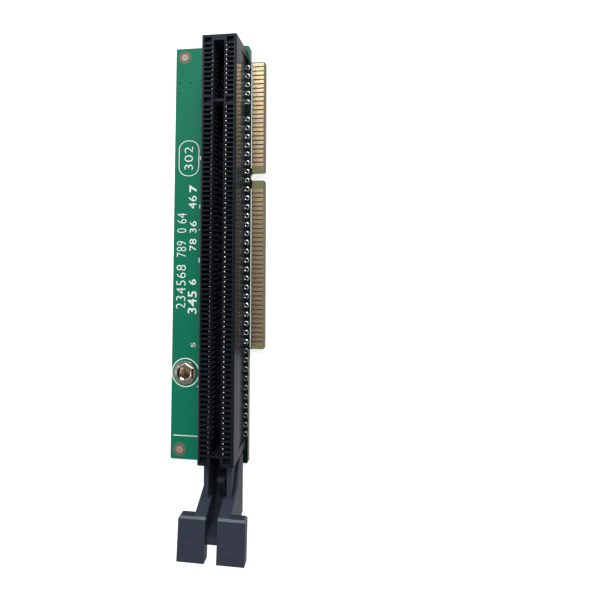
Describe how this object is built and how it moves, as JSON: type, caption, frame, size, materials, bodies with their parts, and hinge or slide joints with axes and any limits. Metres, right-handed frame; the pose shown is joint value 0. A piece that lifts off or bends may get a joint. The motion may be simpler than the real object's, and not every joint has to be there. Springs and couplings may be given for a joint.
{
  "type": "pcie riser card",
  "caption": "Slim green riser board with a keyed card edge along one side, a long black card slot with a hinged retention latch on its face, and a threaded nut for its bracket.",
  "frame": {"origin": "axis of the threaded bracket nut, on the board's front face", "axes": "+Z out of the board's front face and out of the card slot, +Y along the board from the latch's end to its upper end, +X towards the card edge"},
  "size_m": [0.0214, 0.1066, 0.0165],
  "materials": {
    "solder_mask": "green solder mask over copper, satin gloss, on glass-epoxy board",
    "housing_plastic": "black moulded plastic, glossy walls",
    "latch_plastic": "dark grey moulded plastic, satin",
    "nut_metal": "tin-plated steel",
    "bare_copper": "thin gold plating over copper",
    "finger_gold": "hard gold plating",
    "contact_gold": "gold-plated spring metal",
    "solder": "bright solder"
  },
  "bodies": {
    "riser": {"back_lower_fingers": "finger_gold", "back_upper_fingers": "finger_gold", "bracket_nut": "nut_metal", "circuit_board": "solder_mask", "front_lower_fingers": "finger_gold", "front_upper_fingers": "finger_gold", "left_long_inner_contacts": "contact_gold", "left_long_inner_solder": "solder", "left_long_outer_contacts": "contact_gold", "left_long_outer_solder": "solder", "left_short_inner_contacts": "contact_gold", "left_short_inner_solder": "solder", "left_short_outer_contacts": "contact_gold", "left_short_outer_solder": "solder", "lower_fiducial": "bare_copper", "right_long_inner_contacts": "contact_gold", "right_long_inner_solder": "solder", "right_long_outer_contacts": "contact_gold", "right_long_outer_solder": "solder", "right_short_inner_contacts": "contact_gold", "right_short_inner_solder": "solder", "right_short_outer_contacts": "contact_gold", "right_short_outer_solder": "solder", "slot_housing": "housing_plastic", "upper_fiducial": "bare_copper"},
    "latch": {"retention_latch": "latch_plastic"}
  },
  "joints": [
    {"name": "latch_pivot", "type": "hinge", "parent": "riser", "child": "latch", "pos_m": [0.0103, -0.01425, 0.003], "axis": [1, 0, 0], "range_deg": [0, 15]}
  ]
}
